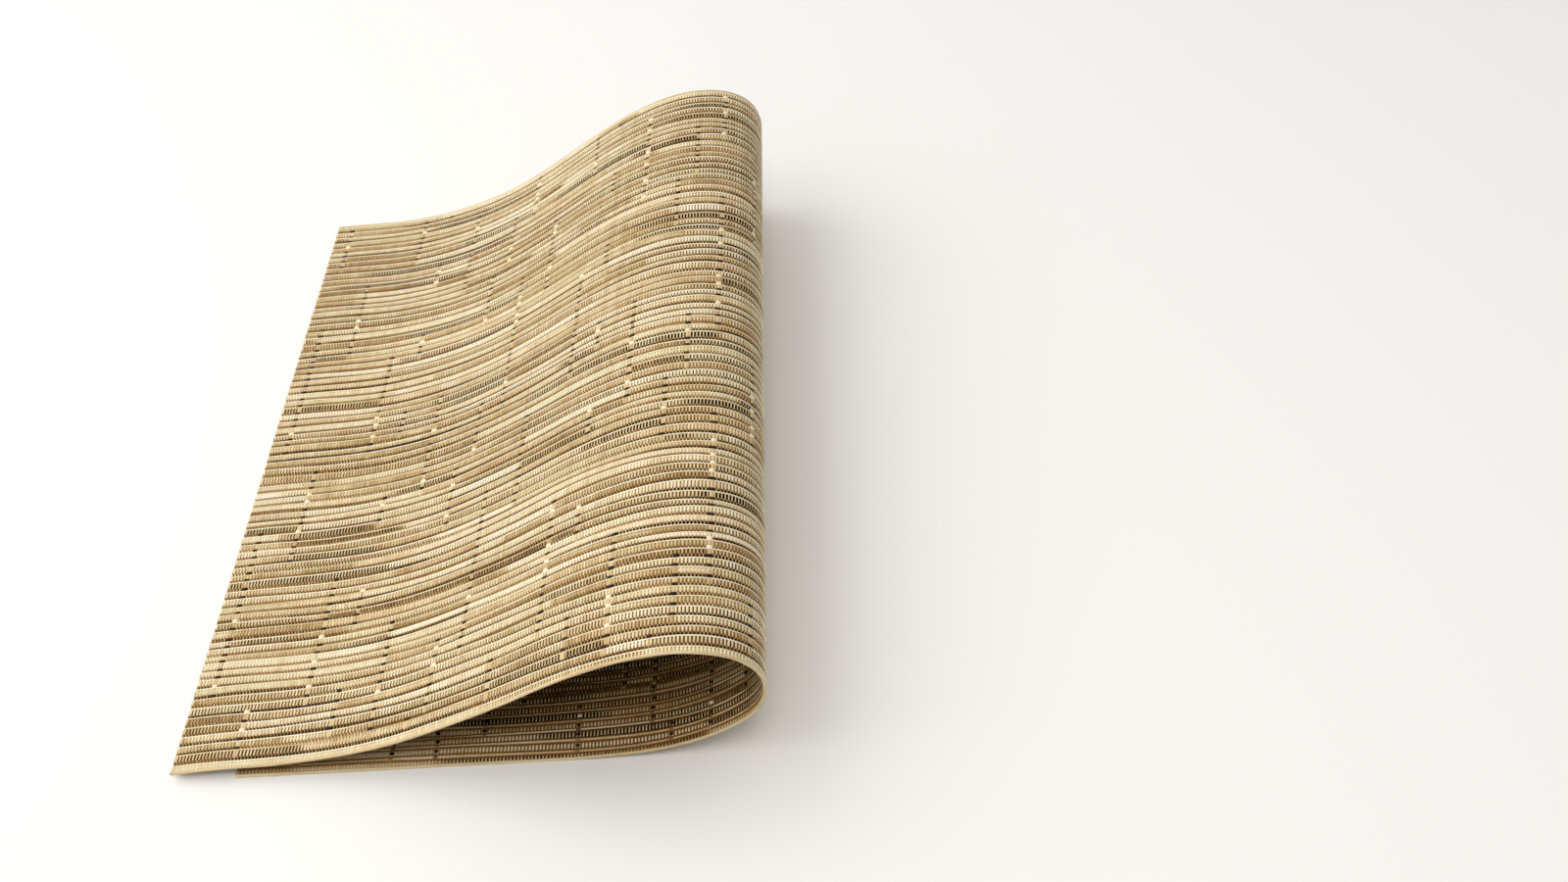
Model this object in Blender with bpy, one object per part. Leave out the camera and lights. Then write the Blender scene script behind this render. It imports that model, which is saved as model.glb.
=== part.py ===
"""A woven placemat, softly folded in half and lying on a flat surface.

Metres, +Z up. X runs from the free ends to the fold, Y from the front cut edge to the back one.
The origin is at the middle of the footprint, on the surface that the mat lies on.
The mat is one sheet: its lower layer lies flat, it turns upward and back in a wide soft loop, and
its upper layer comes down over the lower one and reaches a little past the lower layer's end.
"""

from typing import NamedTuple

import bmesh
import bpy
import numpy as np

MM = 0.001

# Driving dimensions of the cut cloth
CLOTH_LENGTH = 450 * MM
CLOTH_DEPTH = 300 * MM
CLOTH_THICKNESS = 1.3 * MM

# The fold isn't quite square, so the upper layer's free end lies this much further back
FOLD_SKEW = 0.9 * MM

# Length over which one turn of the fold eases into the next
TURN_BLEND = 12 * MM

# Spacing of the mesh: one station for each of these, whichever comes first
STATION_LENGTH = 6 * MM
STATION_TURN = 5.0
DEPTH_STRIPS = 8

# Fine spacing at which the fold's curve is worked out
CURVE_STEP = 0.5 * MM


class Turn(NamedTuple):
    """Heading of the cloth at one distance from the lower layer's free end.

    0 degrees runs along +X, 90 degrees straight up and 180 degrees back along -X.
    """

    along_mm: float
    front_deg: float
    back_deg: float


FOLD = (
    Turn(0, 0, 0),
    Turn(115, 0, 0),
    Turn(145, 8, 13),
    Turn(170, 26, 28),
    Turn(190, 44, 48),
    Turn(204, 77, 68),
    Turn(216, 101, 91),
    Turn(228, 142, 130),
    Turn(240, 167, 166),
    Turn(255, 187, 186),
    Turn(270, 199, 200),
    Turn(290, 207, 209),
    Turn(310, 212, 214),
    Turn(330, 207, 214),
    Turn(350, 206, 209),
    Turn(375, 197, 200),
    Turn(400, 188, 191),
    Turn(425, 182, 181),
    Turn(450, 189, 182),
)

CLOTH_COLOUR = (0.51, 0.38, 0.19, 1.0)
CLOTH_ROUGHNESS = 0.55


def clear_scene():
    """Remove every object that the file opened with."""
    for item in list(bpy.data.objects):
        bpy.data.objects.remove(item, do_unlink=True)


def headings(degrees):
    """The cloth's heading in degrees at every curve step, eased from turn to turn."""
    margin = TURN_BLEND
    steps = np.arange(-margin, CLOTH_LENGTH + margin + CURVE_STEP / 2, CURVE_STEP)
    rows = [turn.along_mm * MM for turn in FOLD]
    heading = np.interp(steps, rows, degrees)
    window = int(round(TURN_BLEND / CURVE_STEP)) + 1
    eased = np.convolve(heading, np.ones(window) / window, mode="same")
    inside = (steps > -CURVE_STEP / 2) & (steps < CLOTH_LENGTH + CURVE_STEP / 2)
    return steps[inside], eased[inside]


def edge_curve(degrees):
    """Distance, x, z and heading along the middle of the cloth's thickness at one cut edge."""
    along, heading = headings(degrees)
    angle = np.radians(heading)
    mid_angle = (angle[1:] + angle[:-1]) / 2
    x = np.concatenate(([0.0], np.cumsum(np.cos(mid_angle) * CURVE_STEP)))
    z = np.concatenate(([0.0], np.cumsum(np.sin(mid_angle) * CURVE_STEP)))
    return along, x, z + CLOTH_THICKNESS / 2, heading


def stations(along, heading):
    """Distances along the cloth, closer together where it turns more sharply."""
    turning = np.abs(np.gradient(heading, along))
    density = 1 / STATION_LENGTH + turning / STATION_TURN
    count = np.concatenate(([0.0], np.cumsum((density[1:] + density[:-1]) / 2 * CURVE_STEP)))
    return np.interp(np.linspace(0, count[-1], int(np.ceil(count[-1])) + 1), count, along)


def middle_surface():
    """Grid of points on the middle of the cloth, one row for each station from front to back."""
    along, front_x, front_z, front_heading = edge_curve([turn.front_deg for turn in FOLD])
    _, back_x, back_z, back_heading = edge_curve([turn.back_deg for turn in FOLD])
    places = stations(along, (front_heading + back_heading) / 2)
    half_length = CLOTH_LENGTH / 2
    past_the_fold = np.clip(places - half_length, 0, half_length) / half_length
    rows = []
    for depth_share in np.linspace(0, 1, DEPTH_STRIPS + 1):
        x = front_x + (back_x - front_x) * depth_share
        y = CLOTH_DEPTH * depth_share + FOLD_SKEW * past_the_fold
        z = front_z + (back_z - front_z) * depth_share
        rows.append(np.column_stack((np.interp(places, along, x), y, np.interp(places, along, z))))
    return np.array(rows)


def centred(points):
    """The grid moved so that the cloth's footprint is centred on the origin.

    At the fold the cloth reaches half its thickness past the grid.
    """
    low = points.min(axis=(0, 1))
    high = points.max(axis=(0, 1)) + (CLOTH_THICKNESS / 2, 0, 0)
    middle = (low + high) / 2
    return points - (middle[0], middle[1], 0)


def cloth_mesh(points):
    """A mesh of four-sided faces through the grid, with the outer side of the fold facing out."""
    mesh = bpy.data.meshes.new("mat")
    bm = bmesh.new()
    verts = [[bm.verts.new(point) for point in row] for row in points]
    for front_row, back_row in zip(verts, verts[1:]):
        for near in range(len(front_row) - 1):
            corners = (front_row[near], back_row[near], back_row[near + 1], front_row[near + 1])
            bm.faces.new(corners)
    bm.to_mesh(mesh)
    bm.free()
    mesh.shade_smooth()
    return mesh


def cloth_material():
    """Pale tan woven vinyl."""
    material = bpy.data.materials.new("woven_vinyl")
    material.use_nodes = True
    shader = material.node_tree.nodes["Principled BSDF"]
    shader.inputs["Base Color"].default_value = CLOTH_COLOUR
    shader.inputs["Roughness"].default_value = CLOTH_ROUGHNESS
    shader.inputs["Metallic"].default_value = 0.0
    return material


def build_mat():
    """The folded mat as one closed sheet."""
    mesh = cloth_mesh(centred(middle_surface()))
    mesh.materials.append(cloth_material())
    mat = bpy.data.objects.new("mat", mesh)
    bpy.context.scene.collection.objects.link(mat)
    thickness = mat.modifiers.new("thickness", "SOLIDIFY")
    thickness.thickness = CLOTH_THICKNESS
    thickness.offset = 0.0
    thickness.use_even_offset = True
    return mat


clear_scene()
build_mat()
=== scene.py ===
"""A folded woven placemat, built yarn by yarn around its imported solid.

Metres, +Z up. X runs from the free ends to the fold, Y from the front cut edge to the back one.
Places on the cut cloth are given as along, the distance from the lower layer's free end, and depth, the
distance from the front cut edge. Height is measured from the middle of the cloth's thickness, towards the
side that faces out round the fold.
"""

import math
from typing import NamedTuple

import bpy
import numpy as np
from mathutils import Matrix, Vector


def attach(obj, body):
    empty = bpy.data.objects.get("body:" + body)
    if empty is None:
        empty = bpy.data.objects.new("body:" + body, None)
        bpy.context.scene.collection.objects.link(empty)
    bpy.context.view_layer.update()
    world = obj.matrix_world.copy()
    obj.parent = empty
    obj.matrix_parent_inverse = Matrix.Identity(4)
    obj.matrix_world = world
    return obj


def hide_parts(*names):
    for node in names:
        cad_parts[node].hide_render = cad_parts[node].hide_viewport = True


bl_info = {
    "name": "Folded Woven Placemat",
    "version": (1, 0, 0),
    "blender": (4, 5, 0),
    "location": "3D View > Sidebar > Placemat",
    "description": "Weaves a folded placemat from its yarns and sets it on a plain stage",
    "category": "Mesh",
}

MM = 0.001
CLOTH_NODE = "mat"
BODY = "root"

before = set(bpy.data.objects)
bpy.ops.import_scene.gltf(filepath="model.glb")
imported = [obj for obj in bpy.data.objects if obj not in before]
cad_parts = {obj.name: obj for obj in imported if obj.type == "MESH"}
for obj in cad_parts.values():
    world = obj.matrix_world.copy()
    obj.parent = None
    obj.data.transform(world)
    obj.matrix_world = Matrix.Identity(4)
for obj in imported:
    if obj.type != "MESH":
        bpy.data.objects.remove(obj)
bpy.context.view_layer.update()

# Sizes of the cut cloth and its fold, as in the part's source
CLOTH_LENGTH = 450 * MM
CLOTH_DEPTH = 300 * MM
CLOTH_THICKNESS = 1.3 * MM
FOLD_SKEW = 0.9 * MM
TURN_BLEND = 12 * MM
CURVE_STEP = 0.5 * MM

# Sides of the cloth: OUT faces out round the fold, IN faces the space inside it
OUT = 1
IN = -1


class Turn(NamedTuple):
    """Heading of the cloth at one distance from the lower layer's free end."""

    along_mm: float
    front_deg: float
    back_deg: float


FOLD = (
    Turn(0, 0, 0),
    Turn(115, 0, 0),
    Turn(145, 8, 13),
    Turn(170, 26, 28),
    Turn(190, 44, 48),
    Turn(204, 77, 68),
    Turn(216, 101, 91),
    Turn(228, 142, 130),
    Turn(240, 167, 166),
    Turn(255, 187, 186),
    Turn(270, 199, 200),
    Turn(290, 207, 209),
    Turn(310, 212, 214),
    Turn(330, 207, 214),
    Turn(350, 206, 209),
    Turn(375, 197, 200),
    Turn(400, 188, 191),
    Turn(425, 182, 181),
    Turn(450, 189, 182),
)

# Slubs that look like the nodes of bamboo stand in columns, which repeat along the cloth
COLUMN_REPEAT = 101.4 * MM


class Column(NamedTuple):
    """One column of slubs: its place in each repeat, and how much of the depth it fills."""

    offset_mm: float
    run_mm: float
    gap_mm: float
    start_mm: float


COLUMNS = (
    Column(7.5, 78, 41, 28),
    Column(23.3, 47, 68, 90),
    Column(44.7, 60, 62, 22),
    Column(57.5, 17, 30, 103),
    Column(74.2, 54, 62, 117),
    Column(90.0, 31, 84, 93),
    Column(97.5, 30, 86, 10),
)


def curve_of(degrees):
    """Distance, x, z and heading along the middle of the cloth's thickness at one cut edge."""
    steps = np.arange(-TURN_BLEND, CLOTH_LENGTH + TURN_BLEND + CURVE_STEP / 2, CURVE_STEP)
    heading = np.interp(steps, [turn.along_mm * MM for turn in FOLD], degrees)
    window = int(round(TURN_BLEND / CURVE_STEP)) + 1
    eased = np.convolve(heading, np.ones(window) / window, mode="same")
    inside = (steps > -CURVE_STEP / 2) & (steps < CLOTH_LENGTH + CURVE_STEP / 2)
    along, angle = steps[inside], np.radians(eased[inside])
    mid_angle = (angle[1:] + angle[:-1]) / 2
    x = np.concatenate(([0.0], np.cumsum(np.cos(mid_angle) * CURVE_STEP)))
    z = np.concatenate(([0.0], np.cumsum(np.sin(mid_angle) * CURVE_STEP)))
    return along, x, z + CLOTH_THICKNESS / 2, angle


class FoldedCloth:
    """The folded shape: turns places on the cut cloth into points in the room."""

    def __init__(self):
        self.along, self.front_x, self.front_z, self.front_angle = curve_of([t.front_deg for t in FOLD])
        _, self.back_x, self.back_z, self.back_angle = curve_of([t.back_deg for t in FOLD])
        low_x = min(self.front_x.min(), self.back_x.min())
        high_x = max(self.front_x.max(), self.back_x.max()) + CLOTH_THICKNESS / 2
        self.shift_x = -(low_x + high_x) / 2
        self.shift_y = -(CLOTH_DEPTH + FOLD_SKEW) / 2

    def points(self, along, depth, height):
        """Points in the room for arrays of places on the cloth, which all have one shape."""
        along, depth, height = np.broadcast_arrays(along, depth, height)
        share = np.clip(depth / CLOTH_DEPTH, 0, 1)

        def blended(front, back):
            at_front = np.interp(along, self.along, front)
            return at_front + (np.interp(along, self.along, back) - at_front) * share

        angle = blended(self.front_angle, self.back_angle)
        half = CLOTH_LENGTH / 2
        past_the_fold = np.clip(along - half, 0, half) / half
        beyond = along - np.clip(along, 0, CLOTH_LENGTH)
        x = blended(self.front_x, self.back_x) + beyond * np.cos(angle) + height * np.sin(angle)
        y = depth + FOLD_SKEW * past_the_fold
        z = blended(self.front_z, self.back_z) + beyond * np.sin(angle) - height * np.cos(angle)
        return np.stack((x + self.shift_x, y + self.shift_y, z), axis=-1)


def smooth_noise(rng, rows, columns, across, along):
    """Even noise with a spread of one, softened over some rows and some columns."""
    noise = rng.standard_normal((rows, columns))
    for axis, reach in ((0, across), (1, along)):
        if reach > 0:
            span = np.arange(-3 * int(np.ceil(reach)), 3 * int(np.ceil(reach)) + 1)
            kernel = np.exp(-0.5 * (span / reach) ** 2)
            pad = [(0, 0), (0, 0)]
            pad[axis] = (len(span) // 2, len(span) // 2)
            wide = np.pad(noise, pad, mode="wrap")
            noise = np.apply_along_axis(lambda line: np.convolve(line, kernel, mode="valid"), axis, wide)
    return (noise - noise.mean()) / noise.std()


def column_places():
    """Where each column of slubs stands along the cloth, from the upper layer's free end, with its kind."""
    places = []
    for repeat in range(int(CLOTH_LENGTH / COLUMN_REPEAT) + 1):
        for column in COLUMNS:
            place = column.offset_mm * MM + repeat * COLUMN_REPEAT
            if 4 * MM < place < CLOTH_LENGTH - 4 * MM:
                places.append((place, column))
    return places


def in_run(column, depth):
    """True where a column of slubs is in one of its runs at that depth."""
    period = (column.run_mm + column.gap_mm) * MM
    return (depth - column.start_mm * MM) % period < column.run_mm * MM


# Room left for the sealed edge at the front and back
EDGE_MARGIN = 0.35 * MM

# The dark stretches: their mean number in a pair of rows, and how open and how gloomy they are
DARK_STRETCHES = 1.3
DARK_STRETCH_GAP = 0.16
DARK_STRETCH_GLOOM = 0.60


class Weave:
    """The plan of the weave: where each left-right row runs, and how its dye and its openness change.

    Fields are held at even steps from the upper layer's free end.
    """

    STEP = 0.5 * MM

    def __init__(self, sizes):
        self.rows = 2 * sizes.row_pairs
        self.count = int(round(CLOTH_LENGTH / self.STEP)) + 1
        self.places = np.arange(self.count) * self.STEP
        rng = np.random.default_rng(sizes.seed)
        self.edges = self.row_edges(rng, sizes)
        middle = (self.edges[1:] + self.edges[:-1]).mean(axis=1) / 2
        self.streak, self.hue, self.open, self.gloom = self.dyed(rng, middle)

    def row_edges(self, rng, sizes):
        """Depth of the line between each two rows, meandering a little."""
        widths = np.where(np.arange(self.rows) % 2 == 0, sizes.light_row_share, 1 - sizes.light_row_share)
        widths = widths * np.exp(0.11 * rng.standard_normal(self.rows))
        lines = np.concatenate(([0.0], np.cumsum(widths)))
        lines = EDGE_MARGIN + lines / lines[-1] * (CLOTH_DEPTH - 2 * EDGE_MARGIN)
        step_mm = self.STEP / MM
        near = smooth_noise(rng, self.rows + 1, self.count, 0.7, 14 / step_mm)
        far = smooth_noise(rng, self.rows + 1, self.count, 2.5, 34 / step_mm)
        wander = sizes.meander * (0.55 * near + 0.8 * far)
        wander *= np.clip(np.minimum(lines, CLOTH_DEPTH - lines) / (6 * MM), 0, 1)[:, None]
        edges = lines[:, None] + wander
        least = 0.35 * CLOTH_DEPTH / self.rows
        for row in range(1, self.rows + 1):
            edges[row] = np.maximum(edges[row], edges[row - 1] + least)
        return edges / edges[-1] * (CLOTH_DEPTH - EDGE_MARGIN)

    def dyed(self, rng, middle):
        """Streak, hue, openness and gloom of every row, in stretches that mostly end at columns of slubs.

        Streak is how much darker the floats are dyed, and gloom how much darker the row is between them.
        """
        streak = np.zeros((self.rows, self.count))
        hue = np.zeros((self.rows, self.count))
        openness = np.zeros((self.rows, self.count))
        gloom = np.zeros((self.rows, self.count))
        columns = column_places()
        bands = smooth_noise(rng, self.rows, self.count, 3, 70)
        for row in range(self.rows):
            ends = [place for place, column in columns if in_run(column, middle[row]) and rng.random() < 0.55]
            ends += list(rng.uniform(0, CLOTH_LENGTH, rng.poisson(3)))
            ends = np.sort(np.array(ends))
            which = np.searchsorted(ends, self.places)
            levels = 0.075 * rng.standard_normal(len(ends) + 1)
            special = rng.random(len(ends) + 1)
            levels = np.where(special < 0.14, levels + 0.12, levels)
            levels = np.where(special > 0.85, levels - 0.08, levels)
            gaps = 0.05 * rng.standard_normal(len(ends) + 1) + 0.5 * np.clip(levels, -0.1, 0.2)
            gaps = np.where(rng.random(len(ends) + 1) < 0.10, -0.16, gaps)
            streak[row] = levels[which]
            openness[row] = gaps[which]
            hue[row] = rng.standard_normal(len(ends) + 1)[which]
            gloom[row] = (0.20 * rng.standard_normal(len(ends) + 1))[which]
        self.add_dark_stretches(rng, middle, columns, streak, hue, openness, gloom)
        soften = np.ones(5) / 5
        for field in (streak, hue, openness, gloom):
            wide = np.pad(field, ((0, 0), (2, 2)), mode="edge")
            field[:] = np.apply_along_axis(lambda line: np.convolve(line, soften, mode="valid"), 1, wide)
        streak += 0.025 * bands + 0.03 * smooth_noise(rng, self.rows, self.count, 0, 6)
        gloom += 0.10 * bands
        return streak, hue, openness, gloom

    def add_dark_stretches(self, rng, middle, columns, streak, hue, openness, gloom):
        """Short stretches where one or two rows are dyed dark, and show as pale bars over brown or olive."""
        stretches = rng.poisson(DARK_STRETCHES, self.rows // 2)
        for pair in np.repeat(np.arange(self.rows // 2), stretches):
            row = 2 * pair + int(rng.integers(0, 2))
            ends = [place for place, column in columns if in_run(column, middle[min(row, self.rows - 1)])]
            end = rng.choice(ends) if ends else rng.uniform(0, CLOTH_LENGTH)
            length = rng.uniform(18, 62) * MM
            start = end - length if rng.random() < 0.7 else end
            inside = (self.places > start) & (self.places < start + length)
            fade = np.clip((self.places - start) / length, 0, 1) ** 0.35
            depth_of_dye = rng.uniform(0.0, 0.16) * fade
            tint = rng.choice((-0.6, 0.8, 2.4))
            for line in range(row, min(row + int(rng.integers(1, 3)), self.rows)):
                streak[line, inside] = depth_of_dye[inside]
                openness[line, inside] = DARK_STRETCH_GAP
                gloom[line, inside] = DARK_STRETCH_GLOOM
                hue[line, inside] = tint

    def at(self, field, along):
        """A field's values in every row, at distances from the lower layer's free end."""
        place = np.clip((CLOTH_LENGTH - along) / self.STEP, 0, self.count - 1)
        low = np.minimum(place.astype(int), self.count - 2)
        part = place - low
        return field[:, low] * (1 - part) + field[:, low + 1] * part


def mesh_of(name, points, quads, dye, flat_places):
    """A smooth mesh of four-sided faces with its dye, whose third part is the recess that sets painted shade,
    and every corner's own place on the bake map.
    """
    mesh = bpy.data.meshes.new(name)
    mesh.vertices.add(len(points))
    mesh.vertices.foreach_set("co", points.astype(np.float32).ravel())
    mesh.loops.add(quads.size)
    mesh.loops.foreach_set("vertex_index", quads.astype(np.int32).ravel())
    mesh.polygons.add(len(quads))
    mesh.polygons.foreach_set("loop_start", np.arange(0, quads.size, 4, dtype=np.int32))
    mesh.update(calc_edges=True)
    mesh.validate()
    attribute = mesh.attributes.new("dye", "FLOAT_VECTOR", "POINT")
    attribute.data.foreach_set("vector", dye.astype(np.float32).ravel())
    places = mesh.uv_layers.new(name="OFBake")
    places.data.foreach_set("uv", flat_places[quads.ravel()].astype(np.float32).ravel())
    mesh.shade_smooth()
    return mesh


def add_piece(name, mesh, material):
    """An object for a mesh with the given material, riding on the part's one body."""
    piece = bpy.data.objects.new(name, mesh)
    bpy.context.scene.collection.objects.link(piece)
    mesh.materials.append(material)
    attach(piece, BODY)
    return piece


def strip_quads(strips, steps, across):
    """Faces of many separate strips whose points are ordered by strip, step and place across."""
    corner = np.arange(strips * steps * across).reshape(strips, steps, across)
    quads = np.stack(
        (corner[:, :-1, :-1], corner[:, 1:, :-1], corner[:, 1:, 1:], corner[:, :-1, 1:]), axis=-1
    )
    return quads.reshape(-1, 4)


class Knots(NamedTuple):
    """Where the points of a yarn lie in each row, for a yarn over the row and for one under it.

    Each entry is a share of the row's width and a share of the float's full height.
    """

    over: tuple
    under: tuple


SEEN_KNOTS = Knots(over=((0.0, 0.0), (0.15, 1.0), (0.85, 1.0)), under=((0.0, 0.0), (0.5, 1.0)))
HIDDEN_KNOTS = Knots(over=((0.0, 0.0), (0.5, 1.0)), under=((0.0, 0.0), (0.5, 1.0)))

# Dye of the two kinds of depth yarn and of both under the cloth, from 0 for the palest to 1 for the darkest
CREAM_DYE = 0.32
TAN_DYE = 0.55
UNDER_DYE = 0.36

# Share of the space along the cloth that is open between floats of each kind
CREAM_OPEN = 0.38
TAN_OPEN = 0.60

# The outer face opens where the cloth turns: where that is, how far it reaches, how much it adds to the gaps
# and how much painted shade it adds to the rows seen in them
OPEN_TURN_PLACE = 235 * MM
OPEN_TURN_REACH = 34 * MM
OPEN_TURN_GAP = 0.10
OPEN_TURN_PAINTED_SHADE = 0.22


def opened_by_turn(along):
    """How much the turn opens the outer face at distances along the cloth, from 0 to 1; it also sets the
    painted shade in the opened gaps.
    """
    return np.exp(-(((along - OPEN_TURN_PLACE) / OPEN_TURN_REACH) ** 2))


def yarn_path(weave, sizes, cream, along, knots):
    """Depth, height, half width and dye along depth yarns of one kind, each an array of yarns by steps."""
    edges = weave.at(weave.edges, along)
    streak, hue, gap = (weave.at(field, along) for field in (weave.streak, weave.hue, weave.open))
    top = sizes.cream_height if cream else sizes.tan_height
    base_dye, base_open = (CREAM_DYE, CREAM_OPEN) if cream else (TAN_DYE, TAN_OPEN)
    pitch = CLOTH_LENGTH / sizes.depth_yarns
    depth, height, half_width, dye = [], [], [], []
    for row in range(weave.rows):
        over = (row % 2 == 0) == cream
        for share, lift in knots.over if over else knots.under:
            depth.append(edges[row] + (edges[row + 1] - edges[row]) * share)
            height.append(np.full(len(along), (1 if over else -1) * lift * top))
            opened = base_open + gap[row] + OPEN_TURN_GAP * opened_by_turn(along)
            width = 2 * pitch * (1 - np.clip(opened, 0.06, 0.72))
            half_width.append((pitch * 1.02 + (width - pitch * 1.02) * min(1, lift)) / 2)
            before = max(row - 1, 0)
            tone = streak[row] if lift > 0 else (streak[row] + streak[before]) / 2
            tint = hue[row] if lift > 0 else (hue[row] + hue[before]) / 2
            base = base_dye if over else UNDER_DYE
            # The third part is the recess for painted shade: none on a float's top, full where the yarn dives
            # between rows.
            dye.append(np.stack((base + tone, tint, np.full(len(along), 1 - lift)), axis=-1))
    depth.append(edges[weave.rows])
    height.append(np.zeros(len(along)))
    half_width.append(np.full(len(along), pitch * 0.51))
    # The last row line gets full recess, so full painted shade.
    dye.append(np.stack((base_dye + streak[-1], hue[-1], np.ones(len(along))), axis=-1))
    stacked = (np.stack(values, axis=1) for values in (depth, height, half_width))
    return (*stacked, np.stack(dye, axis=1))


def woven_yarns(cloth, weave, sizes, cream, numbers, knots, across):
    """Points, faces, dye and flat places of the depth yarns with these numbers, all of one kind."""
    rng = np.random.default_rng(sizes.seed + int(numbers[0]) + 1)
    pitch = CLOTH_LENGTH / sizes.depth_yarns
    along = (numbers + 0.5) * pitch
    depth, height, half_width, dye = yarn_path(weave, sizes, cream, along, knots)
    steps = depth.shape[1]
    shape = (len(along), steps)
    side = np.linspace(-1, 1, across)
    wobble = 0.03 * MM * rng.standard_normal(shape)
    lift = np.sign(height) * 0.03 * MM * rng.standard_normal(shape)
    dye[:, :, 0] += 0.035 * rng.standard_normal(shape) + 0.03 * rng.standard_normal(len(along))[:, None]
    places = along[:, None, None] + wobble[:, :, None] + half_width[:, :, None] * side
    full = sizes.cream_height if cream else sizes.tan_height
    roundness = (height / full)[:, :, None] * (sizes.crown * (1 - 1.6 * side**2))
    levels = (height + lift)[:, :, None] + roundness
    points = cloth.points(places, depth[:, :, None], levels)
    dye = np.repeat(dye[:, :, None, :], across, axis=2)
    return points.reshape(-1, 3), strip_quads(len(along), steps, across), dye.reshape(-1, 3)


def flat_places_of(strips, steps, across, first, total):
    """Bake-map places for strips that lie side by side, each in its own narrow band."""
    band = (first + np.arange(strips) * 2 + 0.5) / total
    side = np.linspace(-0.42, 0.42, across) / total
    run = np.linspace(0.002, 0.998, steps)
    u = np.broadcast_to(band[:, None, None] + side, (strips, steps, across))
    v = np.broadcast_to(run[None, :, None], (strips, steps, across))
    return np.stack((u, v), axis=-1).reshape(-1, 2)


def yarn_mesh(cloth, weave, sizes, name, first, last, knots, across):
    """One mesh with every depth yarn from the first number up to the last."""
    points, quads, dye, places, start = [], [], [], [], 0
    for cream in (True, False):
        numbers = np.arange(first, last)
        numbers = numbers[numbers % 2 == (0 if cream else 1)]
        part_points, part_quads, part_dye = woven_yarns(cloth, weave, sizes, cream, numbers, knots, across)
        steps = len(part_points) // (len(numbers) * across)
        points.append(part_points)
        quads.append(part_quads + start)
        dye.append(part_dye)
        places.append(flat_places_of(len(numbers), steps, across, numbers[0] - first, last - first))
        start += len(part_points)
    joined = [np.concatenate(values) for values in (points, quads, dye, places)]
    return mesh_of(name, *joined)


# Spacing of the ground weave's mesh: one station for each of these, whichever comes first
STATION_LENGTH = 9 * MM
STATION_TURN = 9.0

# Dye of the left-right rows: pale where the cream yarns cross on top; dark in the gaps between the tan ones,
# as painted shade seen through those holes; and fairly dark on the lines between the rows, as painted shade
# in the creases there
PALE_ROW_DYE = 0.40
DARK_ROW_PAINTED_SHADE = 0.90
ROW_LINE_PAINTED_SHADE = 0.8


def station_places():
    """Distances along the cloth, closer together where it turns more sharply."""
    along, _, _, angle = curve_of([(turn.front_deg + turn.back_deg) / 2 for turn in FOLD])
    turning = np.abs(np.gradient(np.degrees(angle), along))
    density = 1 / STATION_LENGTH + turning / STATION_TURN
    count = np.concatenate(([0.0], np.cumsum((density[1:] + density[:-1]) / 2 * CURVE_STEP)))
    return np.interp(np.linspace(0, count[-1], int(np.ceil(count[-1])) + 1), count, along)


def ground_mesh(cloth, weave, sizes):
    """The left-right rows as one thin closed sheet, ribbed by its rows."""
    along = station_places()
    edges = weave.at(weave.edges, along)
    streak, hue, gloom = (weave.at(field, along) for field in (weave.streak, weave.hue, weave.gloom))
    lines = 2 * weave.rows + 1
    depth = np.empty((lines, len(along)))
    depth[0::2] = edges
    depth[1::2] = (edges[1:] + edges[:-1]) / 2
    depth[0], depth[-1] = EDGE_MARGIN, CLOTH_DEPTH - EDGE_MARGIN
    rise = np.zeros((lines, 1))
    rise[1::4], rise[3::4] = sizes.ground_rise, -sizes.ground_rise
    sides = []
    for side in (OUT, IN):
        level = rise + side * sizes.ground_thickness / 2
        sides.append(cloth.points(along[None, :], depth, level))
    tone = np.empty((2, lines, len(along)))
    tint = np.empty((2, lines, len(along)))
    for number, side in enumerate((OUT, IN)):
        # On each face, the rows whose holes lie between tan floats take the dark painted shade.
        pale_first = side == OUT
        for row in range(weave.rows):
            pale = (row % 2 == 0) == pale_first
            tone[number, 2 * row + 1] = (PALE_ROW_DYE if pale else DARK_ROW_PAINTED_SHADE) + streak[row] + gloom[row]
            # Painted shade in the gaps that open round the turn.
            tone[number, 2 * row + 1] += OPEN_TURN_PAINTED_SHADE * opened_by_turn(along)
            tint[number, 2 * row + 1] = hue[row]
        # Painted shade in the creases on the lines between the rows.
        tone[number, 0::2] = ROW_LINE_PAINTED_SHADE
        tint[number, 0::2] = 0
    points = np.concatenate([side.reshape(-1, 3) for side in sides])
    # Every point of the row sheet gets full recess, so all of it is darkened a little by painted shade.
    dye = np.stack((tone, tint, np.ones_like(tone)), axis=-1).reshape(-1, 3)
    corner = np.arange(lines * len(along)).reshape(lines, len(along))
    outer = strip_quads(1, lines, len(along))
    inner = outer[:, ::-1] + lines * len(along)
    rim = np.concatenate((corner[0, :-1], corner[:-1, -1], corner[-1, :0:-1], corner[:0:-1, 0]))
    after = np.roll(rim, -1)
    other = lines * len(along)
    walls = np.stack((rim, after, after + other, rim + other), axis=-1)
    u = np.broadcast_to(along[None, :] / CLOTH_LENGTH, (lines, len(along)))
    v = np.broadcast_to((np.arange(lines) / (lines - 1))[:, None], (lines, len(along)))
    halves = [np.stack((0.005 + 0.485 * u + 0.5 * number, 0.002 + 0.996 * v), axis=-1) for number in (0, 1)]
    places = np.concatenate([half.reshape(-1, 2) for half in halves])
    mesh = mesh_of("ground_weave", points, np.concatenate((outer, inner, walls)), dye, places)
    mesh.set_sharp_from_angle(angle=math.radians(60))
    return mesh


# Share of a pad's size that its flat top takes
PAD_TOP_SHARE = 0.82


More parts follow.
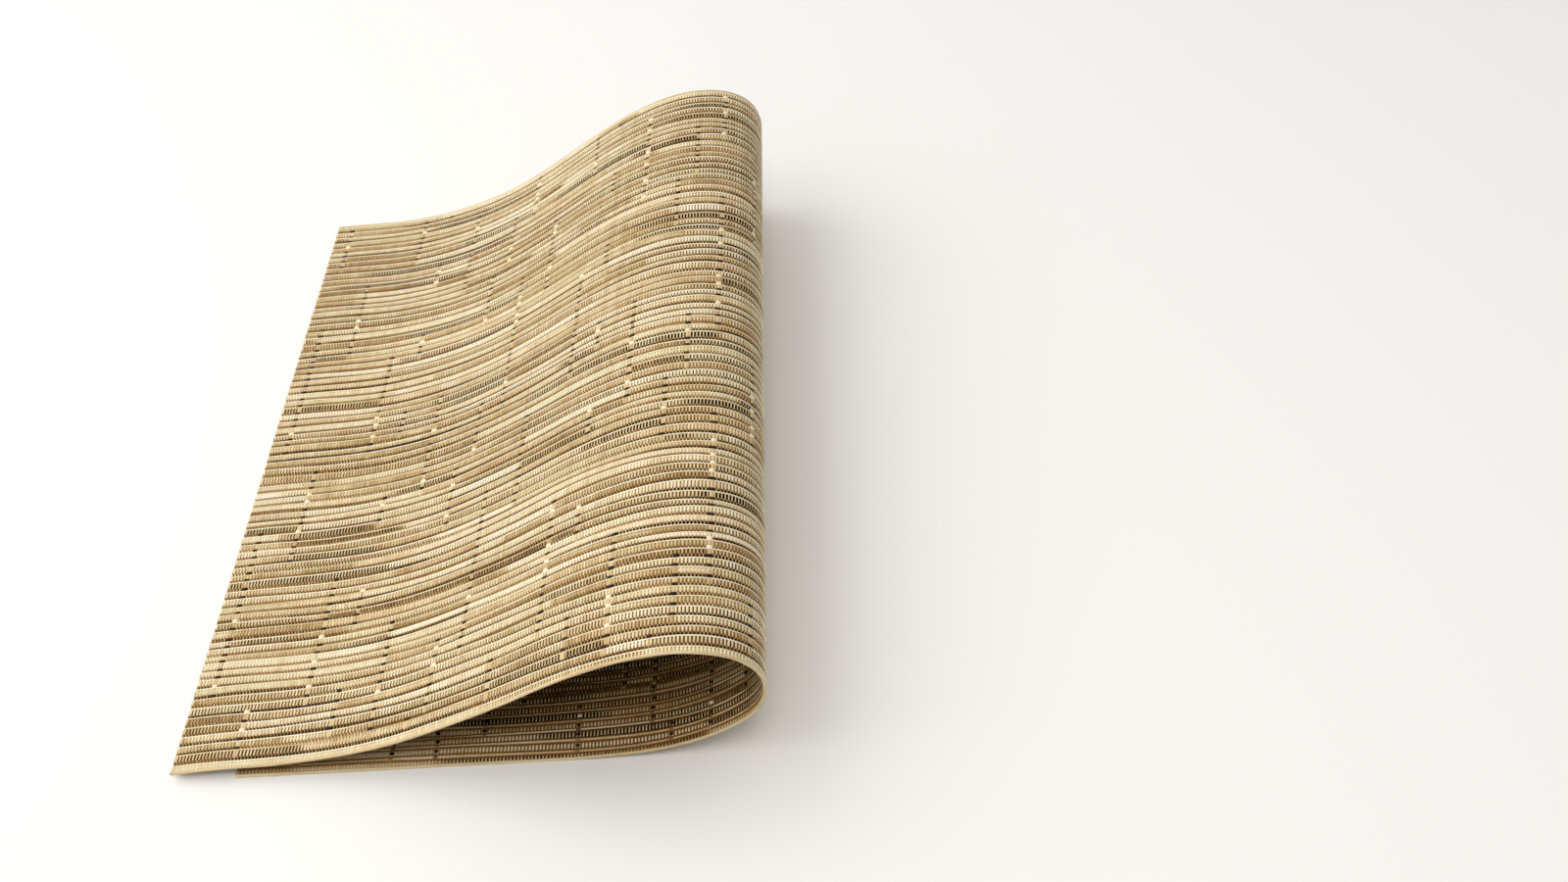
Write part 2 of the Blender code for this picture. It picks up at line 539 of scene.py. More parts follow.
class Pads:
    """Many small raised pads, joined into one mesh: each has a flat top and sides that slope down."""

    def __init__(self, cloth):
        self.cloth = cloth
        self.rows = []

    def add(self, along, depth, length, width, side, top, foot, tone, tint):
        """One pad at a place on the cloth: its sizes along and across, the heights of its top and foot."""
        self.rows.append((along, depth, length, width, side, top, foot, tone, tint))

    def mesh(self, name):
        """The joined mesh of all the pads."""
        table = np.array(self.rows)
        along, depth, length, width, side, top, foot, tone, tint = table.T
        turn = np.array(((-1, -1), (-1, 1), (1, 1), (1, -1)))
        rings = []
        for share, level in ((1.0, foot), (PAD_TOP_SHARE, top)):
            at_along = along[:, None] + share * length[:, None] / 2 * turn[:, 0]
            at_depth = depth[:, None] + share * width[:, None] / 2 * turn[:, 1]
            at_depth = np.clip(at_depth, 0, CLOTH_DEPTH)
            rings.append(self.cloth.points(at_along, at_depth, (side * level)[:, None]))
        points = np.stack(rings, axis=1).reshape(-1, 3)
        faces = np.array(((4, 5, 6, 7), (0, 1, 5, 4), (1, 2, 6, 5), (2, 3, 7, 6), (3, 0, 4, 7)))
        quads = (np.arange(len(table))[:, None, None] * 8 + faces).reshape(-1, 4)
        quads = np.where(np.repeat(side > 0, 5)[:, None], quads, quads[:, ::-1])
        dye = np.repeat(np.stack((tone, tint, np.zeros(len(table))), axis=-1)[:, None, :], 8, axis=1)
        cells = int(np.ceil(np.sqrt(len(table))))
        number = np.arange(len(table))
        centre = np.stack((number % cells, number // cells), axis=-1) + 0.5
        reach = np.concatenate((turn * 0.46, turn * 0.34))
        places = (centre[:, None, :] + reach) / cells
        return mesh_of(name, points, quads, dye.reshape(-1, 3), places.reshape(-1, 2))


# A slub's block: its length along the cloth, its width as a share of its row's, its rise over the yarns
SLUB_LENGTH = 1.75 * MM
SLUB_WIDTH_SHARE = 1.06
SLUB_RISE = 0.04 * MM
SLUB_FOOT = 0.1 * MM
SLUB_HUE = -0.6

# The dash behind a block: its sizes and rise, the share that are dark, which are painted shadow of a hole
# behind the block, and how small the inner ones are
DASH_LENGTH = 2.2 * MM
DASH_WIDTH = 1.45 * MM
DASH_RISE = 0.07 * MM
DASH_FOOT = 0.05 * MM
DASH_SHIFT = 0.1 * MM
SHADOW_DASH_SHARE = 0.84
PALE_DASH_DYE = 0.10
INNER_DASH_SHARE = 0.75


def slub_pads(cloth, weave, sizes):
    """The slubs of every column on both faces, each with a short dark or pale dash behind it. A dark dash is
    a near-black pad painted as the shadow of a hole behind the slub.
    """
    rng = np.random.default_rng(sizes.seed + 7001)
    pads = Pads(cloth)
    for place, column in column_places():
        along = CLOTH_LENGTH - place
        edges = weave.at(weave.edges, np.array([along]))[:, 0]
        for row in range(weave.rows - 1):
            side = OUT if row % 2 == 0 else IN
            middle = (edges[row] + edges[row + 1]) / 2
            if not in_run(column, middle) or middle > CLOTH_DEPTH - 3 * MM or middle < 2 * MM:
                continue
            at = along + 0.12 * MM * rng.standard_normal()
            width = edges[row + 1] - edges[row]
            after = edges[min(row + 2, weave.rows)] - edges[row + 1]
            # Slubs on the inner face are dyed darker than the outer ones, as painted shade inside the fold.
            tone = (0.46 if side == OUT else 0.66) + 0.05 * rng.standard_normal()
            pads.add(
                at, middle, SLUB_LENGTH, SLUB_WIDTH_SHARE * width, side,
                sizes.cream_height + SLUB_RISE, SLUB_FOOT, tone, SLUB_HUE,
            )
            # A dark dash is near black: painted shadow of a hole, standing on top of the yarns.
            dark = rng.random() < SHADOW_DASH_SHARE
            dash = rng.uniform(0.94, 1.0) if dark else PALE_DASH_DYE
            shrink = 1.0 if side == OUT else INNER_DASH_SHARE
            pads.add(
                at + DASH_SHIFT, edges[row + 1] + 0.5 * after, DASH_LENGTH * shrink, DASH_WIDTH * shrink,
                side, sizes.cream_height + DASH_RISE, DASH_FOOT, dash, 0.0,
            )
    return pads


# The pale yarn along the back of each light row: its width, its mean dye and how much that changes
PALE_LINE_WIDTH = 0.62 * MM
PALE_LINE_DYE = 0.03
PALE_LINE_CHANGE = 0.14


def pale_line_mesh(cloth, weave, sizes):
    """A thin pale yarn along the back of each light row, as a low ridge."""
    rng = np.random.default_rng(sizes.seed + 5003)
    along = station_places()
    edges = weave.at(weave.edges, along)
    streak, hue = weave.at(weave.streak, along), weave.at(weave.hue, along)
    rows = np.arange(0, weave.rows - 1, 2)
    change = PALE_LINE_CHANGE * smooth_noise(rng, len(rows), len(along), 0, 4)
    across = np.array((-1.0, 0.0, 1.0))
    depth = edges[rows + 1][:, :, None] + PALE_LINE_WIDTH * (across / 2 - 0.35)
    crown = np.array((-0.14, 0.14, -0.25)) * MM
    points = cloth.points(along[:, None], depth, sizes.cream_height + crown)
    tone = np.clip(PALE_LINE_DYE + 0.6 * streak[rows] + change, 0, 1)
    dye = np.stack((tone, hue[rows], np.zeros_like(tone)), axis=-1)
    dye = np.repeat(dye[:, :, None, :], 3, axis=2).reshape(-1, 3)
    quads = strip_quads(len(rows), len(along), 3)[:, ::-1]
    v = (np.arange(len(rows))[:, None, None] + 0.5 + 0.4 * across) / len(rows)
    u = 0.002 + 0.996 * along[None, :, None] / CLOTH_LENGTH
    u, v = np.broadcast_arrays(u, v)
    places = np.stack((u, v), axis=-1).reshape(-1, 2)
    return mesh_of("pale_lines", points.reshape(-1, 3), quads, dye, places)


# The heat-sealed edges: steps along each, sides of its section and its width
EDGE_STEPS = 360
EDGE_SIDES = 8
EDGE_BEAD = 1.1 * MM


def sealed_edge(sizes, front):
    """Steps, section rings and dye of the sealed edge at the front or the back, a slightly uneven bead."""
    rng = np.random.default_rng(sizes.seed + (811 if front else 822))
    along = np.linspace(0, CLOTH_LENGTH, EDGE_STEPS + 1)
    turn = np.linspace(0, 2 * math.pi, EDGE_SIDES, endpoint=False)
    uneven = np.minimum(1 + 0.06 * smooth_noise(rng, EDGE_STEPS + 1, EDGE_SIDES, 1.5, 0), 1.1)
    out = -1 if front else 1
    face = 0.0 if front else CLOTH_DEPTH
    rings = np.empty((EDGE_STEPS + 1, EDGE_SIDES, 2))
    rings[:, :, 0] = face - out * EDGE_BEAD / 2 + out * EDGE_BEAD / 2 * np.cos(turn) * uneven
    rings[:, :, 1] = 0.44 * CLOTH_THICKNESS * np.sin(turn) * uneven
    tone = 0.36 + 0.05 * smooth_noise(rng, EDGE_STEPS + 1, EDGE_SIDES, 4, 0)
    return along, rings, tone


def edge_mesh(cloth, sizes):
    """Both sealed edges in one mesh."""
    points, quads, dye, places, start = [], [], [], [], 0
    for number, front in enumerate((True, False)):
        along, rings, tone = sealed_edge(sizes, front)
        steps, sides = tone.shape
        part = cloth.points(along[:, None], rings[:, :, 0], rings[:, :, 1]).reshape(-1, 3)
        corner = np.arange(steps * sides).reshape(steps, sides)
        beside = np.roll(corner, -1, axis=1)
        walls = np.stack((corner[:-1], corner[1:], beside[1:], beside[:-1]), axis=-1).reshape(-1, 4)
        if not front:
            walls = walls[:, ::-1]
        caps = []
        for ring in (corner[0], corner[-1]):
            caps += [(ring[0], ring[1], ring[2], ring[7]), (ring[2], ring[3], ring[6], ring[7])]
            caps += [(ring[3], ring[4], ring[5], ring[6])]
        quads.append(np.concatenate((walls, np.array(caps))) + start)
        points.append(part)
        dye.append(np.stack((tone, np.full_like(tone, -0.3), np.zeros_like(tone)), axis=-1).reshape(-1, 3))
        u = np.broadcast_to(along[:, None] / CLOTH_LENGTH, (steps, sides))
        v = np.broadcast_to(np.abs(np.linspace(-1, 1, sides))[None, :], (steps, sides))
        places.append(np.stack((0.002 + 0.996 * u, 0.03 + 0.42 * v + 0.5 * number), axis=-1).reshape(-1, 2))
        start += len(part)
    joined = [np.concatenate(values) for values in (points, quads, dye, places)]
    return mesh_of("sealed_edges", *joined)


def row_end_mesh(cloth, weave, sizes):
    """The cut tips of the left-right rows at both free ends, which make those edges finely toothed."""
    rng = np.random.default_rng(sizes.seed + 901)
    turn = np.linspace(0, 2 * math.pi, 8, endpoint=False)
    points, dye, places, quads = [], [], [], []
    stub = np.array((-1.0, -0.35, 1.0))
    girth = np.array((0.72, 1.0, 1.0))
    total = 2 * weave.rows
    for end_number, end in enumerate((0.0, CLOTH_LENGTH)):
        inward = 1 if end == 0 else -1
        edges = weave.at(weave.edges, np.array([end]))[:, 0]
        for row in range(weave.rows):
            middle = (edges[row] + edges[row + 1]) / 2
            width = edges[row + 1] - edges[row]
            reach = (0.35 + 0.12 * rng.standard_normal()) * MM
            rise = sizes.ground_rise * (1 if row % 2 == 0 else -1)
            at = end + inward * (0.4 * MM + stub * (0.4 * MM + (stub < 0) * (reach - 0.35 * MM)))
            depth = middle + 0.42 * width * np.cos(turn) * girth[:, None]
            level = rise + 0.33 * MM * np.sin(turn) * girth[:, None]
            base = len(points) * 24
            points.append(cloth.points(at[:, None], depth, level).reshape(-1, 3))
            corner = np.arange(24).reshape(3, 8) + base
            beside = np.roll(corner, -1, axis=1)
            walls = np.stack((corner[:-1], corner[1:], beside[1:], beside[:-1]), axis=-1).reshape(-1, 4)
            ring = corner[0]
            cap = [(ring[0], ring[1], ring[2], ring[7]), (ring[2], ring[3], ring[6], ring[7])]
            cap += [(ring[3], ring[4], ring[5], ring[6])]
            faces = np.concatenate((walls, np.array(cap)))
            quads.append(faces if inward > 0 else faces[:, ::-1])
            tone = (0.33 if row % 2 == 0 else 0.58) + 0.08 * rng.standard_normal()
            # The 0.3 recess gives the row ends a little painted shade.
            dye.append(np.tile((tone, 0.0, 0.3), (24, 1)))
            cell = end_number * weave.rows + row
            cells = int(np.ceil(np.sqrt(total)))
            centre = np.array((cell % cells, cell // cells)) + 0.5
            ring_places = np.stack((np.cos(turn), np.sin(turn)), axis=-1)
            radii = np.array((0.16, 0.3, 0.44))[:, None, None]
            places.append(((centre + ring_places * radii) / cells).reshape(-1, 2))
    return mesh_of("row_ends", *(np.concatenate(values) for values in (points, quads, dye, places)))


def from_display(red, green, blue):
    """A colour as seen on a display, from 0 to 255, as linear light with full alpha."""
    linear = []
    for value in (red, green, blue):
        share = value / 255
        linear.append(share / 12.92 if share <= 0.04045 else ((share + 0.055) / 1.055) ** 2.4)
    return (*linear, 1.0)


class RampStop(NamedTuple):
    """A stop of a colour ramp: its place and its colour as seen on a display."""

    place: float
    colour: tuple


YARN_RAMP = (
    RampStop(0.00, (252, 245, 222)),
    RampStop(0.22, (241, 226, 188)),
    RampStop(0.42, (214, 187, 138)),
    RampStop(0.60, (172, 138, 88)),
    RampStop(0.78, (122, 86, 42)),
    RampStop(0.90, (78, 52, 23)),
    RampStop(1.00, (26, 17, 7)),
)


def new_group(name, inputs, outputs):
    """An empty shader node group with named sockets, and its input and output nodes."""
    group = bpy.data.node_groups.new(name, "ShaderNodeTree")
    for label, kind, default in inputs:
        socket = group.interface.new_socket(name=label, in_out="INPUT", socket_type=kind)
        socket.default_value = default
    for label, kind in outputs:
        group.interface.new_socket(name=label, in_out="OUTPUT", socket_type=kind)
    return group, group.nodes.new("NodeGroupInput"), group.nodes.new("NodeGroupOutput")


def math_node(tree, operation, first, second, clamp=False):
    """The output of a maths node that is fed by sockets or numbers."""
    node = tree.nodes.new("ShaderNodeMath")
    node.operation = operation
    node.use_clamp = clamp
    for socket, value in zip(node.inputs, (first, second)):
        if isinstance(value, bpy.types.NodeSocket):
            tree.links.new(value, socket)
        else:
            socket.default_value = value
    return node.outputs[0]


def tinted(tree, factor, colour, tint):
    """A colour multiplied by a tint, as much as the factor says."""
    node = tree.nodes.new("ShaderNodeMix")
    node.data_type = "RGBA"
    node.blend_type = "MULTIPLY"
    tree.links.new(factor, node.inputs["Factor"])
    tree.links.new(colour, node.inputs["A"])
    node.inputs["B"].default_value = tint
    return node.outputs["Result"]


def dye_and_shade_group():
    """Colour of dyed vinyl yarn from its dye and its hue, with painted shade that darkens it towards brown
    where it lies deep, and fine mottling.
    """
    group, inputs, outputs = new_group(
        "Dyed Yarn With Painted Shade",
        (
            ("Dye", "NodeSocketFloat", 0.3),
            ("Hue", "NodeSocketFloat", 0.0),
            ("Recess", "NodeSocketFloat", 0.0),
            ("Painted Recess Shade", "NodeSocketFloat", 0.4),
            ("Mottle", "NodeSocketFloat", 0.06),
        ),
        (("Color", "NodeSocketColor"),),
    )
    place = group.nodes.new("ShaderNodeTexCoord")
    noise = group.nodes.new("ShaderNodeTexNoise")
    noise.inputs["Scale"].default_value = 900
    noise.inputs["Detail"].default_value = 3
    group.links.new(place.outputs["Object"], noise.inputs["Vector"])
    centred = math_node(group, "SUBTRACT", noise.outputs["Fac"], 0.5)
    mottle = math_node(group, "MULTIPLY", centred, inputs.outputs["Mottle"])
    dye = math_node(group, "ADD", inputs.outputs["Dye"], mottle, clamp=True)
    ramp = group.nodes.new("ShaderNodeValToRGB")
    ramp.color_ramp.interpolation = "LINEAR"
    while len(ramp.color_ramp.elements) < len(YARN_RAMP):
        ramp.color_ramp.elements.new(0.5)
    for element, stop in zip(ramp.color_ramp.elements, YARN_RAMP):
        element.position = stop.place
        element.color = from_display(*stop.colour)
    group.links.new(dye, ramp.inputs["Fac"])
    pink = math_node(group, "MULTIPLY", inputs.outputs["Hue"], -0.2, clamp=True)
    green = math_node(group, "MULTIPLY", inputs.outputs["Hue"], 0.2, clamp=True)
    colour = tinted(group, pink, ramp.outputs["Color"], (1.0, 0.90, 0.86, 1.0))
    colour = tinted(group, green, colour, (0.86, 0.90, 0.80, 1.0))
    # Painted shade: the deeper the recess, the more the colour is multiplied by a dark brown.
    shade = math_node(group, "MULTIPLY", inputs.outputs["Recess"], inputs.outputs["Painted Recess Shade"], clamp=True)
    colour = tinted(group, shade, colour, (0.44, 0.30, 0.15, 1.0))
    group.links.new(colour, outputs.inputs["Color"])
    return group


def surface_group():
    """Roughness and fine relief of vinyl-coated yarn."""
    group, inputs, outputs = new_group(
        "Vinyl Surface",
        (
            ("Roughness", "NodeSocketFloat", 0.45),
            ("Variation", "NodeSocketFloat", 0.15),
            ("Scale", "NodeSocketFloat", 2500.0),
        ),
        (("Roughness", "NodeSocketFloat"), ("Height", "NodeSocketFloat")),
    )
    place = group.nodes.new("ShaderNodeTexCoord")
    noise = group.nodes.new("ShaderNodeTexNoise")
    noise.inputs["Detail"].default_value = 2
    group.links.new(place.outputs["Object"], noise.inputs["Vector"])
    group.links.new(inputs.outputs["Scale"], noise.inputs["Scale"])
    centred = math_node(group, "SUBTRACT", noise.outputs["Fac"], 0.5)
    varied = math_node(group, "MULTIPLY", centred, inputs.outputs["Variation"])
    rough = math_node(group, "ADD", inputs.outputs["Roughness"], varied, clamp=True)
    group.links.new(rough, outputs.inputs["Roughness"])
    group.links.new(noise.outputs["Fac"], outputs.inputs["Height"])
    return group


def yarn_material(name, dyes, surface, roughness, painted_recess_shade, mottle, bump, gloss=0.22):
    """Vinyl yarn whose colour follows the mesh's dye, darkened in its recesses by painted shade."""
    material = bpy.data.materials.new(name)
    material.use_nodes = True
    tree = material.node_tree
    shader = tree.nodes["Principled BSDF"]
    attribute = tree.nodes.new("ShaderNodeAttribute")
    attribute.attribute_name = "dye"
    parts = tree.nodes.new("ShaderNodeSeparateXYZ")
    tree.links.new(attribute.outputs["Vector"], parts.inputs["Vector"])
    dye = tree.nodes.new("ShaderNodeGroup")
    dye.node_tree = dyes
    for label, part in (("Dye", "X"), ("Hue", "Y"), ("Recess", "Z")):
        tree.links.new(parts.outputs[part], dye.inputs[label])
    dye.inputs["Painted Recess Shade"].default_value = painted_recess_shade
    dye.inputs["Mottle"].default_value = mottle
    vinyl = tree.nodes.new("ShaderNodeGroup")
    vinyl.node_tree = surface
    vinyl.inputs["Roughness"].default_value = roughness
    relief = tree.nodes.new("ShaderNodeBump")
    relief.inputs["Strength"].default_value = bump
    relief.inputs["Distance"].default_value = 0.05 * MM
    tree.links.new(vinyl.outputs["Height"], relief.inputs["Height"])
    tree.links.new(relief.outputs["Normal"], shader.inputs["Normal"])
    tree.links.new(dye.outputs["Color"], shader.inputs["Base Color"])
    tree.links.new(vinyl.outputs["Roughness"], shader.inputs["Roughness"])
    shader.inputs["Specular IOR Level"].default_value = gloss
    return material


def stage_material(name, colour, roughness):
    """A plain matt finish for the floor."""
    material = bpy.data.materials.new(name)
    material.use_nodes = True
    shader = material.node_tree.nodes["Principled BSDF"]
    shader.inputs["Base Color"].default_value = colour
    shader.inputs["Roughness"].default_value = roughness
    return material


class PLACEMAT_PG_weave(bpy.types.PropertyGroup):
    """Sizes of the weave."""

    depth_yarns: bpy.props.IntProperty(
        name="Depth yarns", description="Number of yarns that run from front to back", default=706, min=40
    )
    row_pairs: bpy.props.IntProperty(
        name="Row pairs", description="Number of pairs of a light and a dark left-right row",
        default=77, min=4,
    )
    light_row_share: bpy.props.FloatProperty(
        name="Light row share", description="Share of a pair's width that its light row takes",
        default=0.71, min=0.3, max=0.85, subtype="FACTOR",
    )
    cream_height: bpy.props.FloatProperty(
        name="Cream height", description="How far cream yarns stand off the cloth's middle",
        default=0.44 * MM, unit="LENGTH", precision=5,
    )
    tan_height: bpy.props.FloatProperty(
        name="Tan height", description="How far tan yarns stand off the cloth's middle",
        default=0.30 * MM, unit="LENGTH", precision=5,
    )
    crown: bpy.props.FloatProperty(
        name="Crown", description="How much higher a yarn is along its middle",
        default=0.12 * MM, unit="LENGTH", precision=5,
    )
    meander: bpy.props.FloatProperty(
        name="Meander", description="How far the rows wander from straight lines",
        default=0.42 * MM, unit="LENGTH", precision=5,
    )
    ground_rise: bpy.props.FloatProperty(
        name="Row rise", description="How far each row lies above or below the cloth's middle",
        default=0.15 * MM, unit="LENGTH", precision=5,
    )
    ground_thickness: bpy.props.FloatProperty(
        name="Row thickness", description="Thickness of the left-right rows",
        default=0.24 * MM, unit="LENGTH", precision=5,
    )
    seed: bpy.props.IntProperty(name="Seed", description="Picks the pattern of streaks", default=11)


class PLACEMAT_PG_stage(bpy.types.PropertyGroup):
    """Light, floor and background."""

    floor_colour: bpy.props.FloatVectorProperty(
        name="Floor", description="Colour of the floor", default=(0.93, 0.93, 0.92), size=3, subtype="COLOR"
    )
    sky_strength: bpy.props.FloatProperty(
        name="Surrounding light", description="Strength of the light from all around", default=0.8, min=0
    )
    key_power: bpy.props.FloatProperty(
        name="Key light", description="Power of the large lamp at the upper left",
        default=8.0, min=0, unit="POWER",
    )
    front_power: bpy.props.FloatProperty(
        name="Front light", description="Power of the lamp high at the front",
        default=3.5, min=0, unit="POWER",
    )


class Workshop:
    """What the operators share: the folded shape, the weave's plan and the node groups."""

    cloth = None
    weave = None
    groups = None
    pieces = []


def prepared(sizes):
    """The folded shape and the weave's plan, worked out on first use."""
    if Workshop.cloth is None:
        Workshop.cloth = FoldedCloth()
        Workshop.weave = Weave(sizes)
        Workshop.groups = (dye_and_shade_group(), surface_group())
    return Workshop.cloth, Workshop.weave, Workshop.groups


class PLACEMAT_OT_ground(bpy.types.Operator):
    """Make the left-right rows as one thin ribbed sheet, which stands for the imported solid"""

    bl_idname = "placemat.ground"
    bl_label = "Left-right rows"

    def execute(self, context):
        sizes = context.scene.placemat_weave
        cloth, weave, groups = prepared(sizes)
        # The row sheet lies under the yarns and is darkened all over by a little painted shade.
        material = yarn_material(
            "row_yarn", *groups, roughness=0.55, painted_recess_shade=0.15, mottle=0.15, bump=0.3, gloss=0.06
        )
        piece = add_piece("ground_weave", ground_mesh(cloth, weave, sizes), material)
        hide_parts(CLOTH_NODE)
        return {"FINISHED"}


# Yarns up to this distance from the lower layer's free end have fewer points, as little of them shows
PLAIN_YARNS_END = 192 * MM
SEEN_PIECES = 4


class PLACEMAT_OT_yarns(bpy.types.Operator):
    """Weave the cream and tan depth yarns over and under the rows"""

    bl_idname = "placemat.yarns"
    bl_label = "Depth yarns"

    def execute(self, context):
        sizes = context.scene.placemat_weave
        cloth, weave, groups = prepared(sizes)
        material = yarn_material(
            "depth_yarn", *groups, roughness=0.42, painted_recess_shade=0.5, mottle=0.10, bump=0.3
        )
        pitch = CLOTH_LENGTH / sizes.depth_yarns
        first_seen = int(PLAIN_YARNS_END / pitch)
        cuts = np.linspace(first_seen, sizes.depth_yarns, SEEN_PIECES + 1).astype(int)
        mesh = yarn_mesh(cloth, weave, sizes, "lower_yarns", 0, first_seen, HIDDEN_KNOTS, 2)
        Workshop.pieces.append(add_piece("lower_yarns", mesh, material))
        for number, (first, last) in enumerate(zip(cuts, cuts[1:]), start=1):
            name = f"upper_yarns_{number}"
            mesh = yarn_mesh(cloth, weave, sizes, name, first, last, SEEN_KNOTS, 3)
            Workshop.pieces.append(add_piece(name, mesh, material))
        return {"FINISHED"}


class PLACEMAT_OT_lines(bpy.types.Operator):
    """Lay the thin pale yarn along the back of each light row"""

    bl_idname = "placemat.lines"
    bl_label = "Pale lines"

    def execute(self, context):
        sizes = context.scene.placemat_weave
        cloth, weave, groups = prepared(sizes)
        material = yarn_material(
            "pale_yarn", *groups, roughness=0.36, painted_recess_shade=0.3, mottle=0.10, bump=0.25
        )
        Workshop.pieces.append(add_piece("pale_lines", pale_line_mesh(cloth, weave, sizes), material))
        return {"FINISHED"}


class PLACEMAT_OT_slubs(bpy.types.Operator):
    """Add the columns of slubs that look like the nodes of bamboo"""

    bl_idname = "placemat.slubs"
    bl_label = "Slubs"

    def execute(self, context):
        sizes = context.scene.placemat_weave
        cloth, weave, groups = prepared(sizes)
        material = yarn_material(
            "slub", *groups, roughness=0.45, painted_recess_shade=0.3, mottle=0.12, bump=0.3, gloss=0.12
        )
        mesh = slub_pads(cloth, weave, sizes).mesh("slubs")
        Workshop.pieces.append(add_piece("slubs", mesh, material))
        return {"FINISHED"}


class PLACEMAT_OT_edges(bpy.types.Operator):
    """Seal the front and back cut edges and trim the rows at the free ends"""

    bl_idname = "placemat.edges"
    bl_label = "Cut edges"

    def execute(self, context):
        sizes = context.scene.placemat_weave
        cloth, weave, groups = prepared(sizes)
        material = yarn_material("cut_edge", *groups, roughness=0.38, painted_recess_shade=0.3, mottle=0.14, bump=0.4)
        Workshop.pieces.append(add_piece("sealed_edges", edge_mesh(cloth, sizes), material))
        Workshop.pieces.append(add_piece("row_ends", row_end_mesh(cloth, weave, sizes), material))
        return {"FINISHED"}


# The camera, which looks down on the mat from the front, turned a little about its own axis
CAMERA_PLACE = Vector((0.1419, -0.4333, 0.4719))
CAMERA_DOWN = math.radians(47.68)
CAMERA_TURN = math.radians(-3.9)
CAMERA_ROLL = math.radians(-6.42)
CAMERA_LENS = 35.4


def add_camera():
    """The camera at the photograph's viewing angle."""
    data = bpy.data.cameras.new("camera")
    data.lens = CAMERA_LENS
    data.sensor_width = 36.0
    data.clip_start, data.clip_end = 0.01, 20.0
    camera = bpy.data.objects.new("camera", data)
    bpy.context.scene.collection.objects.link(camera)
    forward = Vector(
        (
            math.sin(CAMERA_TURN) * math.cos(CAMERA_DOWN),
            math.cos(CAMERA_TURN) * math.cos(CAMERA_DOWN),
            -math.sin(CAMERA_DOWN),
        )
    )
    level = Vector((math.cos(CAMERA_TURN), -math.sin(CAMERA_TURN), 0))
    over = level.cross(forward)
    right = level * math.cos(CAMERA_ROLL) + over * math.sin(CAMERA_ROLL)
    up = over * math.cos(CAMERA_ROLL) - level * math.sin(CAMERA_ROLL)
    turned = Matrix((right, up, -forward)).transposed().to_4x4()
    camera.matrix_world = Matrix.Translation(CAMERA_PLACE) @ turned
    bpy.context.scene.camera = camera


def add_lamp(name, place, target, power, width, height, colour):
    """A large soft lamp that points at a place."""
    data = bpy.data.lights.new(name, "AREA")
    data.shape = "RECTANGLE"
    data.size, data.size_y = width, height
    data.energy = power
    data.color = colour
    lamp = bpy.data.objects.new(name, data)
    lamp.location = place
    lamp.rotation_mode = "QUATERNION"
    lamp.rotation_quaternion = (Vector(target) - Vector(place)).to_track_quat("-Z", "Y")
    bpy.context.scene.collection.objects.link(lamp)


def add_floor(colour):
    """A wide pale floor."""
    mesh = bpy.data.meshes.new("floor")
    reach = 6.0
    corners = ((-reach, -reach, 0), (reach, -reach, 0), (reach, reach, 0), (-reach, reach, 0))
    mesh.from_pydata(corners, (), ((0, 1, 2, 3),))
    mesh.materials.append(stage_material("floor", (*colour, 1.0), 0.8))
    floor = bpy.data.objects.new("floor", mesh)
    bpy.context.scene.collection.objects.link(floor)


# Share of the surrounding light that is left on the shaded side, and where that side lies
SHADED_SIDE = 0.2
SHADED_DIRECTION = (0.75, -0.66, 0.0)


def studio_world(strength):
    """Soft light from all around, which fades towards the right and the front."""
    world = bpy.data.worlds.new("studio")
    world.use_nodes = True
    tree = world.node_tree
    place = tree.nodes.new("ShaderNodeTexCoord")
    towards = tree.nodes.new("ShaderNodeVectorMath")
    towards.operation = "DOT_PRODUCT"
    tree.links.new(place.outputs["Generated"], towards.inputs[0])
    towards.inputs[1].default_value = SHADED_DIRECTION
    fade = tree.nodes.new("ShaderNodeMapRange")
    fade.interpolation_type = "SMOOTHSTEP"
    tree.links.new(towards.outputs["Value"], fade.inputs["Value"])
    fade.inputs["From Min"].default_value = -0.3
    fade.inputs["From Max"].default_value = 1.0
    fade.inputs["To Min"].default_value = strength
    fade.inputs["To Max"].default_value = strength * SHADED_SIDE
    background = tree.nodes["Background"]
    tree.links.new(fade.outputs["Result"], background.inputs["Strength"])
    background.inputs["Color"].default_value = (1.0, 0.985, 0.96, 1.0)
    return world


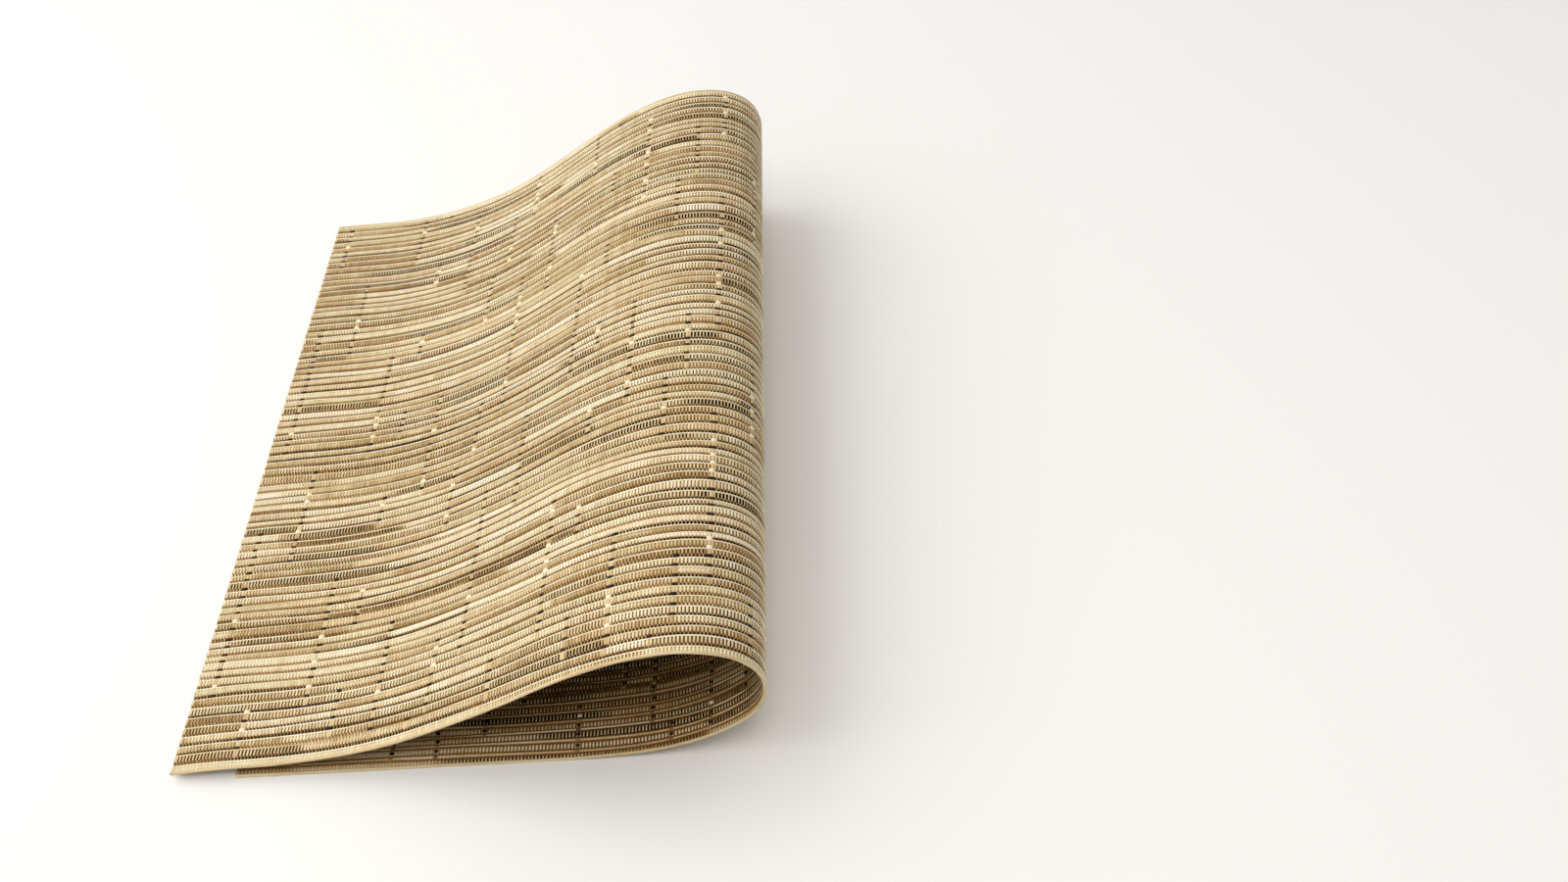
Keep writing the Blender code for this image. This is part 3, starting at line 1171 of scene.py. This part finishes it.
class PLACEMAT_OT_stage(bpy.types.Operator):
    """Set up the camera, the soft light and the pale floor"""

    bl_idname = "placemat.stage"
    bl_label = "Stage"

    def execute(self, context):
        look = context.scene.placemat_stage
        add_camera()
        add_floor(look.floor_colour)
        add_lamp("key", (-0.75, 0.15, 0.95), (0, 0, 0.03), look.key_power, 1.3, 1.1, (1.0, 0.985, 0.95))
        add_lamp("front", (0.25, -0.55, 1.25), (0, 0, 0.03), look.front_power, 0.5, 0.4, (1.0, 0.97, 0.92))
        context.scene.world = studio_world(look.sky_strength)
        context.scene.view_settings.view_transform = "Standard"
        return {"FINISHED"}


class PLACEMAT_PT_panel(bpy.types.Panel):
    """Lists the steps that make the placemat"""

    bl_idname = "PLACEMAT_PT_panel"
    bl_label = "Placemat"
    bl_space_type = "VIEW_3D"
    bl_region_type = "UI"
    bl_category = "Placemat"

    def draw(self, context):
        layout = self.layout
        for settings in (context.scene.placemat_weave, context.scene.placemat_stage):
            for name in settings.__annotations__:
                layout.prop(settings, name)
        for operator in OPERATORS:
            layout.operator(operator.bl_idname)


OPERATORS = (
    PLACEMAT_OT_stage,
    PLACEMAT_OT_ground,
    PLACEMAT_OT_yarns,
    PLACEMAT_OT_lines,
    PLACEMAT_OT_slubs,
    PLACEMAT_OT_edges,
)
CLASSES = (PLACEMAT_PG_weave, PLACEMAT_PG_stage, *OPERATORS, PLACEMAT_PT_panel)


def register():
    """Register the classes and the scene's settings."""
    for item in CLASSES:
        bpy.utils.register_class(item)
    bpy.types.Scene.placemat_weave = bpy.props.PointerProperty(type=PLACEMAT_PG_weave)
    bpy.types.Scene.placemat_stage = bpy.props.PointerProperty(type=PLACEMAT_PG_stage)


def unregister():
    """Undo what register did."""
    del bpy.types.Scene.placemat_weave
    del bpy.types.Scene.placemat_stage
    for item in reversed(CLASSES):
        bpy.utils.unregister_class(item)


def main():
    register()
    bpy.ops.placemat.stage()
    bpy.ops.placemat.ground()
    bpy.ops.placemat.yarns()
    bpy.ops.placemat.lines()
    bpy.ops.placemat.slubs()
    bpy.ops.placemat.edges()


if __name__ == "__main__":
    main()
